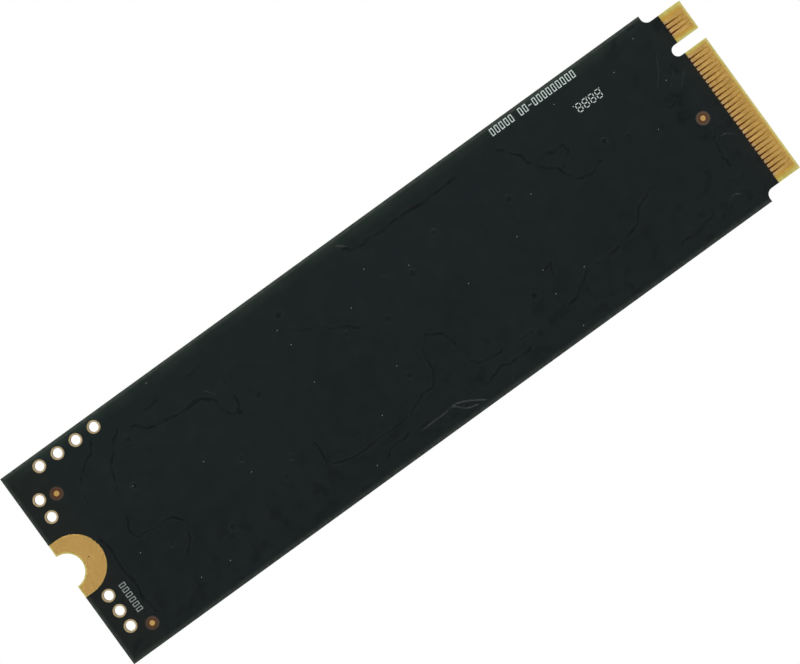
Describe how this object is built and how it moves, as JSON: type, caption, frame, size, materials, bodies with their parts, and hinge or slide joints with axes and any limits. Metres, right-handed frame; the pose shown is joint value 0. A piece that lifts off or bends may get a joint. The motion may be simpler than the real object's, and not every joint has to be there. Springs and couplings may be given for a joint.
{
  "type": "solid state drive",
  "caption": "Bare-board solid state drive with a keyed gold edge connector at one end and a half-round screw notch at the other.",
  "frame": {"origin": "centre of the half-round screw notch, on the bare back face that the drive lies on", "axes": "+X along the board to the tip of the edge connector, +Z out of the component face, +Y across the board"},
  "size_m": [0.08, 0.022, 0.002],
  "materials": {
    "laminate": "glass epoxy, satin",
    "inner_copper": "oxidised copper",
    "solder_mask": "semi-gloss, near black with a green cast",
    "gold_plating": "matte gold over nickel",
    "screen_print": "matte white ink",
    "mould_compound": "matte, fine grain",
    "silicon": "ground silicon",
    "package_substrate": "dark green laminate",
    "solder": "bright solder",
    "tin_plating": "matte tin",
    "ferrite": "dark grey pressed powder",
    "capacitor_case": "matte moulding",
    "crystal_ceramic": "grey-brown ceramic",
    "crystal_metal": "nickel plated lid",
    "quartz": "polished quartz",
    "capacitor_ceramic": "tan ceramic",
    "alumina": "white alumina",
    "resistor_glaze": "black glass"
  },
  "bodies": {
    "root": {"board_core": "laminate", "back_prepreg": "laminate", "front_prepreg": "laminate", "inner_ground_plane": "inner_copper", "inner_power_plane": "inner_copper", "back_solder_mask": "solder_mask", "front_solder_mask": "solder_mask", "back_contact_fingers": "gold_plating", "front_contact_fingers": "gold_plating", "back_screw_pad": "gold_plating", "front_screw_pad": "gold_plating", "plated_test_holes": "gold_plating", "back_fiducials": "gold_plating", "front_fiducials": "gold_plating", "back_silkscreen": "screen_print", "front_silkscreen": "screen_print", "nand_package_1": "mould_compound", "nand_package_2": "mould_compound", "nand_dies_1": "silicon", "nand_dies_2": "silicon", "nand_substrate_1": "package_substrate", "nand_substrate_2": "package_substrate", "nand_balls_1": "solder", "nand_balls_2": "solder", "controller_package": "mould_compound", "controller_die": "silicon", "controller_substrate": "package_substrate", "controller_balls": "solder", "dram_package": "mould_compound", "dram_die": "silicon", "dram_substrate": "package_substrate", "dram_balls": "solder", "firmware_flash_package": "mould_compound", "firmware_flash_leads": "tin_plating", "power_chip_package": "mould_compound", "power_chip_pads": "tin_plating", "load_switch_package": "mould_compound", "load_switch_leads": "tin_plating", "inductor_cores": "ferrite", "inductor_terminals": "tin_plating", "bulk_capacitor_bodies": "capacitor_case", "bulk_capacitor_terminals": "tin_plating", "crystal_base": "crystal_ceramic", "crystal_lid": "crystal_metal", "crystal_blank": "quartz", "decoupling_capacitor_bodies": "capacitor_ceramic", "decoupling_capacitor_ends": "tin_plating", "filter_capacitor_bodies": "capacitor_ceramic", "filter_capacitor_ends": "tin_plating", "resistor_bodies": "alumina", "resistor_coats": "resistor_glaze", "resistor_ends": "tin_plating", "ferrite_bead_bodies": "ferrite", "ferrite_bead_ends": "tin_plating", "solder_joints": "solder"}
  },
  "joints": []
}
